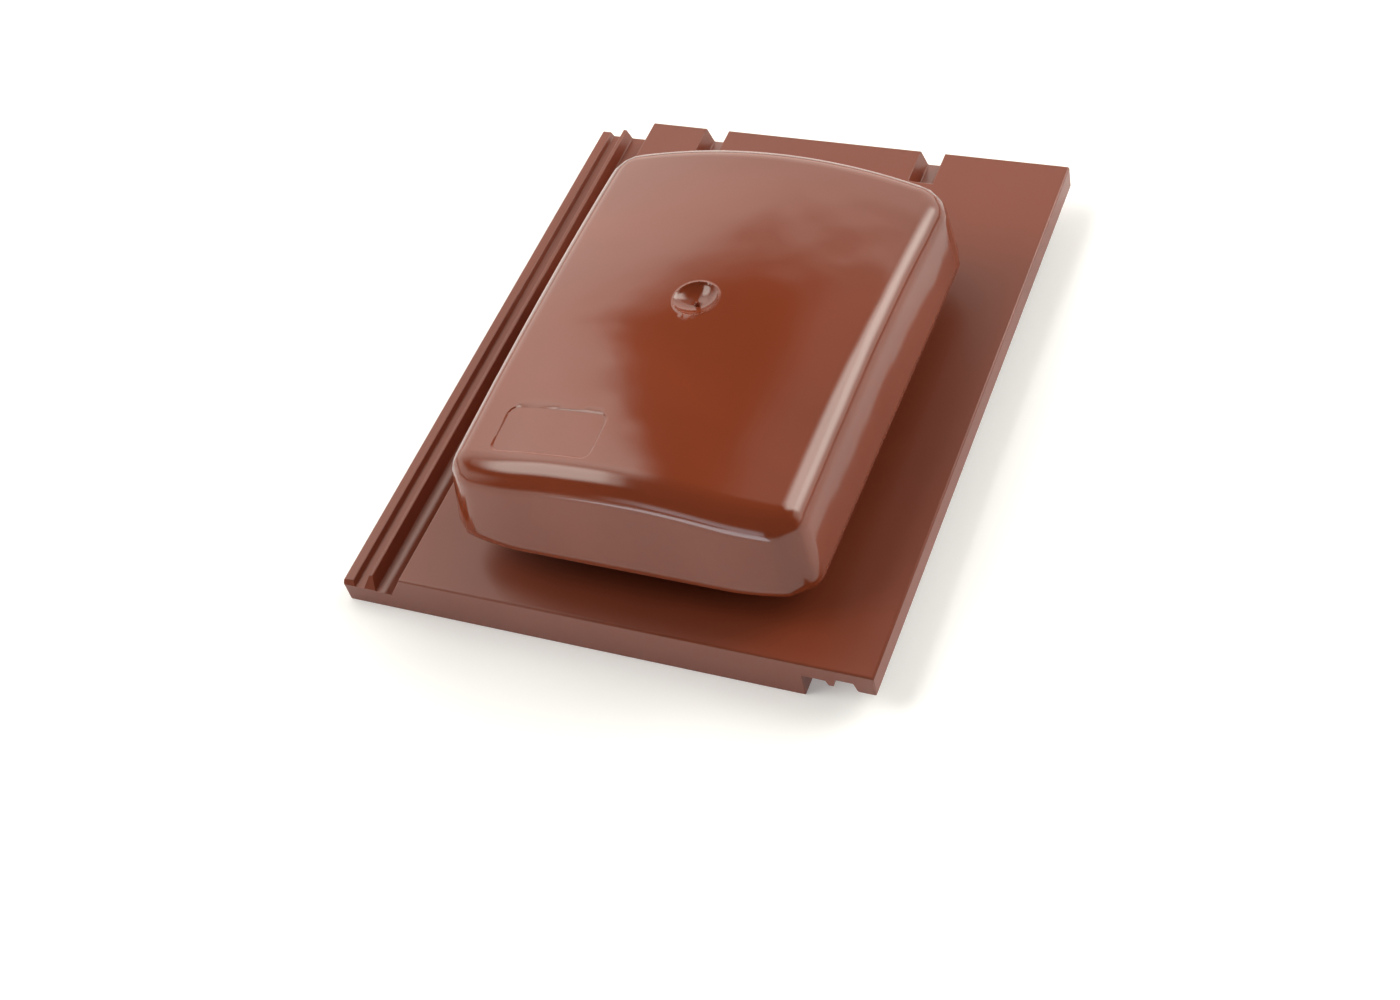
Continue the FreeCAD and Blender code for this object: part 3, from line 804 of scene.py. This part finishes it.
def baked(name, tree, values):
    """Runs a Geometry Nodes tree on an empty mesh and keeps the result as a plain mesh object."""
    carrier = bpy.data.objects.new(name + "_carrier", bpy.data.meshes.new(name + "_carrier"))
    bpy.context.scene.collection.objects.link(carrier)
    modifier = carrier.modifiers.new("Shape", "NODES")
    modifier.node_group = tree
    for item in tree.interface.items_tree:
        if item.item_type == "SOCKET" and item.in_out == "INPUT" and item.name in values:
            modifier[item.identifier] = values[item.name]
    mesh = finished_mesh(carrier)
    carrier.modifiers.remove(modifier)
    bpy.data.objects.remove(carrier)
    if not mesh.polygons:
        raise RuntimeError(name + " came out empty")
    mesh.name = name
    return smooth_object(name, mesh)


# ---- operators


class TILEVENT_OT_tile(bpy.types.Operator):
    """Builds the tile moulding with its softened edges and gives it its plastic"""

    bl_idname = "tilevent.tile"
    bl_label = "Build tile"

    def execute(self, context):
        look = context.scene.tilevent_plastic
        material = plastic("tile_plastic", look, look.tile_gloss, TILE_FLOW, TILE_WAVE, (0.0, 0.0))
        tile = softened_tile("tile_body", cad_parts["tile_base"], look.edge, material)
        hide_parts("tile_base")
        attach(tile, "root")
        return {"FINISHED"}


class TILEVENT_OT_hood(bpy.types.Operator):
    """Builds the domed hood with its rounded shoulders, gate mark and bare panel"""

    bl_idname = "tilevent.hood"
    bl_label = "Build hood"

    def execute(self, context):
        points, faces = hood_mesh(context.scene.tilevent_hood, context.scene.tilevent_dome)
        shell = mesh_object("hood_shell", points, faces, hood_plastic(context))
        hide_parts("hood")
        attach(shell, "root")
        return {"FINISHED"}


class TILEVENT_OT_fittings(bpy.types.Operator):
    """Builds the posts, pegs and ribs under the dome"""

    bl_idname = "tilevent.fittings"
    bl_label = "Build posts and ribs"

    def execute(self, context):
        hood = context.scene.tilevent_hood
        posts = context.scene.tilevent_posts
        across, along = dome_radii(hood)
        made = baked("hood_fittings", fittings_tree(), {
            "Across": posts.across, "Along": posts.along, "Seat": posts.seat,
            "Post Radius": posts.post_radius, "Peg Radius": posts.peg_radius,
            "Peg Length": posts.peg_length, "Rib Thickness": posts.rib,
            "Rib Bottom": posts.rib_bottom, "Dome Top": hood.deck + hood.top - hood.wall / 2,
            "Arch Across": across, "Arch Along": along, "Peak": hood.dome_peak,
            "Centre X": hood.centre_x, "Centre Y": hood.centre_y, "Material": hood_plastic(context),
        })
        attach(made, "root")
        return {"FINISHED"}


# ---- studio

FLOOR_SIZE = 12.0
FLOOR_ROUGHNESS, FLOOR_SHINE = 0.9, 0.1
FLOOR_NEAR, FLOOR_FAR = 0.8, 1.4    # painted shade darkens the floor and its glow between these distances
FLOOR_DIM = 0.15                    # and keeps this share of its pale colour and its glow, the rest being painted shade
# colour of the painted shade on the far floor
FLOOR_PAINTED_SHADE = (0.05, 0.05, 0.05, 1.0)
WHITE = (1.0, 1.0, 1.0, 1.0)

PANEL_SIZE = (0.37, 2.0)            # light that lies on the floor in front
PANEL_PLACE = (0.015, -1.45, 0.01)
FACE_UP = (math.pi, 0.0, 0.0)

SENSOR_WIDTH, LENS = 36.0, 52.65
CLIP = (0.05, 30.0)
CAMERA_PLACE = (0.47737, -0.78101, 0.94652)
CAMERA_TURN = (40.1544, 10.7716, 21.1689)

# A direction in the room has x across the tile, y along it to its head and z upwards. Each pair
# says where a light's soft edge begins and where the light is full.

# the screen behind; its lower end slants, and further down it is all there
SCREEN_TOP, SCREEN_FRONT = (0.78, 0.64), (0.0, 0.4)
SCREEN_SLANTING, SCREEN_LOWER = (0.57, 0.67), (0.56, 0.46)
SLANT_FROM, SLANT_MOST, SLANT = -0.5, 0.2, 0.46

# the screen at the left, which leans away at the back and has a brighter part
SIDE_EDGE, SIDE_FRONT = (-0.26, -0.40), (-0.25, 0.25)
LEAN_FROM, LEAN = 0.48, 2.2
MORE_BACK, MORE_FRONT, MORE_LEFT, MORE = (0.62, 0.40), (0.05, 0.3), (-0.76, -0.62), 0.5

# a faint screen behind at the right, and a low one at the left
FAINT_LEFT, FAINT_FRONT, FAINT = (-0.17, -0.03), (0.22, 0.45), 0.28
LOW_LEFT_EDGE, LOW_LEFT_FRONT, LOW_LEFT_TOP = (-0.52, -0.68), (-0.8, -0.5), (0.45, 0.25)
LOW_LEFT = 0.7

# the tall window behind at the right: the way to it, the way across it and its edges
WINDOW_WAY, WINDOW_ACROSS = (0.743, 0.669, 0.0), (-0.669, 0.743, 0.0)
WINDOW_FRONT, WINDOW_SIDES = (0.3, 0.5), (0.30, 0.10)
WINDOW_FOOT, WINDOW_TOP = (0.08, 0.36), (0.93, 0.70)

# the softbox high at the left, and the low strip in front
SOFTBOX_WAY, SOFTBOX_EDGE = (-0.55, -0.25, 0.80), (0.92, 0.985)
SOFTBOX_RIGHT, SOFTBOX_LEFT = (-0.38, -0.46), (-0.86, -0.72)
STRIP_BACK, STRIP_TOP = (-0.80, -0.90), (0.30, 0.10)
STRIP_LEFT, STRIP_RIGHT = (-0.46, -0.34), (0.16, 0.04)


def floor_material(look):
    """Pale matt floor with painted light, a glow of its own, and painted shade that darkens its
    colour and its glow far away from the object.
    """
    material = bpy.data.materials.new("studio_floor")
    material.use_nodes = True
    t = Tree(material.node_tree)
    place = t.node("ShaderNodeTexCoord").outputs["Object"]
    far = t.node("ShaderNodeVectorMath", {"Vector": place}, operation="LENGTH")
    # painted shade: the floor's colour and its painted glow fall off with distance from the object
    fade = t.node("ShaderNodeMapRange", {
        "Value": far.outputs["Value"], "From Min": FLOOR_NEAR, "From Max": FLOOR_FAR,
        "To Min": 1.0, "To Max": FLOOR_DIM}, interpolation_type="SMOOTHSTEP").outputs["Result"]
    tone = t.node("ShaderNodeMix", {"Factor": fade, "A": FLOOR_PAINTED_SHADE, "B": (*look.floor, 1.0)},
                  data_type="RGBA")
    t.feed(material.node_tree.nodes["Principled BSDF"], {
        "Roughness": FLOOR_ROUGHNESS, "Specular IOR Level": FLOOR_SHINE,
        "Base Color": tone.outputs["Result"], "Emission Color": WHITE,
        "Emission Strength": t.math("MULTIPLY", fade, look.floor_glow),
    })
    return material


def studio_room(look):
    """Dim room with soft screens behind and at the left, a window, a softbox and a low strip."""
    world = bpy.data.worlds.new("studio_room")
    world.use_nodes = True
    t = Tree(world.node_tree)
    way = t.node("ShaderNodeTexCoord").outputs["Generated"]
    parts = t.node("ShaderNodeSeparateXYZ", {"Vector": way}).outputs
    x, y, z = parts["X"], parts["Y"], parts["Z"]

    def towards(place):
        unit = Vector(place).normalized()
        return t.node("ShaderNodeVectorMath", {0: way, 1: unit},
                      operation="DOT_PRODUCT").outputs["Value"]

    def soft(value, edge):
        begin, full = edge
        return t.node("ShaderNodeMapRange", {"Value": value, "From Min": begin, "From Max": full},
                      interpolation_type="SMOOTHSTEP").outputs["Result"]

    def product(*factors):
        total = factors[0]
        for factor in factors[1:]:
            total = t.math("MULTIPLY", total, factor)
        return total

    def brightest(*shares):
        total = shares[0]
        for share in shares[1:]:
            total = t.math("MAXIMUM", total, share)
        return total

    slant = t.math("MINIMUM", t.math("ADD", x, -SLANT_FROM), SLANT_MOST)
    higher = t.math("SUBTRACT", y, product(slant, SLANT))
    behind = product(soft(z, SCREEN_TOP),
                     brightest(soft(higher, SCREEN_SLANTING), soft(z, SCREEN_LOWER)),
                     soft(y, SCREEN_FRONT))
    more = product(soft(y, MORE_BACK), soft(y, MORE_FRONT), soft(x, MORE_LEFT), MORE)
    past = t.math("MAXIMUM", t.math("SUBTRACT", y, LEAN_FROM), 0.0)
    beside = product(soft(t.math("ADD", x, product(past, LEAN)), SIDE_EDGE), soft(y, SIDE_FRONT),
                     t.math("ADD", 1.0, more))
    faint = product(soft(x, FAINT_LEFT), soft(y, FAINT_FRONT), FAINT)
    low_left = product(soft(x, LOW_LEFT_EDGE), soft(y, LOW_LEFT_FRONT), soft(z, LOW_LEFT_TOP),
                       LOW_LEFT)
    aside = t.math("ABSOLUTE", towards(WINDOW_ACROSS))
    window = product(soft(z, WINDOW_FOOT), soft(z, WINDOW_TOP), soft(aside, WINDOW_SIDES),
                     soft(towards(WINDOW_WAY), WINDOW_FRONT))
    softbox = product(soft(towards(SOFTBOX_WAY), SOFTBOX_EDGE), soft(x, SOFTBOX_RIGHT),
                      soft(x, SOFTBOX_LEFT))
    strip = product(soft(y, STRIP_BACK), soft(z, STRIP_TOP), soft(x, STRIP_LEFT),
                    soft(x, STRIP_RIGHT))
    screens = brightest(behind, beside, faint, low_left)
    strength = t.math("ADD", look.room, product(screens, look.screens))
    for share, power in ((window, look.window), (softbox, look.softbox), (strip, look.strip)):
        strength = t.math("ADD", strength, product(share, power))
    tint = t.node("ShaderNodeMix", {"Factor": strip, "A": (*look.light, 1.0),
                                    "B": (*look.cool, 1.0)}, data_type="RGBA")
    t.feed(world.node_tree.nodes["Background"], {"Color": tint.outputs["Result"],
                                                 "Strength": strength})
    return world


class TILEVENT_OT_stage(bpy.types.Operator):
    """Builds the floor, the soft lights and the camera"""

    bl_idname = "tilevent.stage"
    bl_label = "Build studio"

    def execute(self, context):
        look = context.scene.tilevent_studio
        scene = context.scene
        bpy.ops.mesh.primitive_plane_add(size=FLOOR_SIZE, location=(0.0, 0.0, 0.0))
        floor = context.object
        floor.name = "studio_floor"
        floor.data.materials.append(floor_material(look))

        panel = bpy.data.lights.new("low_panel", "AREA")
        panel.shape = "RECTANGLE"
        panel.size, panel.size_y = PANEL_SIZE
        panel.energy = look.panel
        panel.color = look.cool
        lying = bpy.data.objects.new("low_panel", panel)
        lying.location = PANEL_PLACE
        lying.rotation_euler = FACE_UP
        scene.collection.objects.link(lying)
        scene.world = studio_room(look)
        scene.view_settings.view_transform = "Standard"

        data = bpy.data.cameras.new("photo_camera")
        data.sensor_width, data.lens = SENSOR_WIDTH, LENS
        data.clip_start, data.clip_end = CLIP
        camera = bpy.data.objects.new("photo_camera", data)
        camera.location = CAMERA_PLACE
        camera.rotation_euler = tuple(math.radians(degrees) for degrees in CAMERA_TURN)
        scene.collection.objects.link(camera)
        scene.camera = camera
        return {"FINISHED"}


class TILEVENT_PT_panel(bpy.types.Panel):
    """Lists the steps and sizes of the roof tile vent"""

    bl_idname = "TILEVENT_PT_panel"
    bl_label = "Roof tile vent"
    bl_space_type = "VIEW_3D"
    bl_region_type = "UI"
    bl_category = "Roof tile vent"

    def draw(self, context):
        for operator, group in (
            ("tilevent.tile", "tilevent_plastic"),
            ("tilevent.hood", "tilevent_hood"),
            ("tilevent.hood", "tilevent_dome"),
            ("tilevent.fittings", "tilevent_posts"),
            ("tilevent.stage", "tilevent_studio"),
        ):
            box = self.layout.box()
            box.operator(operator)
            values = getattr(context.scene, group)
            for name in values.__annotations__:
                box.prop(values, name)


GROUPS = {
    "tilevent_hood": TileVentHoodSizes,
    "tilevent_dome": TileVentDomeDetails,
    "tilevent_posts": TileVentPostSizes,
    "tilevent_plastic": TileVentPlasticLook,
    "tilevent_studio": TileVentStudioLook,
}
CLASSES = (
    TILEVENT_OT_tile,
    TILEVENT_OT_hood,
    TILEVENT_OT_fittings,
    TILEVENT_OT_stage,
    TILEVENT_PT_panel,
)


def register():
    for name, group in GROUPS.items():
        bpy.utils.register_class(group)
        setattr(bpy.types.Scene, name, PointerProperty(type=group))
    for made in CLASSES:
        bpy.utils.register_class(made)


def unregister():
    for made in reversed(CLASSES):
        bpy.utils.unregister_class(made)
    for name, group in reversed(list(GROUPS.items())):
        delattr(bpy.types.Scene, name)
        bpy.utils.unregister_class(group)


def main():
    register()
    bpy.ops.tilevent.tile()
    bpy.ops.tilevent.hood()
    bpy.ops.tilevent.fittings()
    bpy.ops.tilevent.stage()


if __name__ == "__main__":
    main()
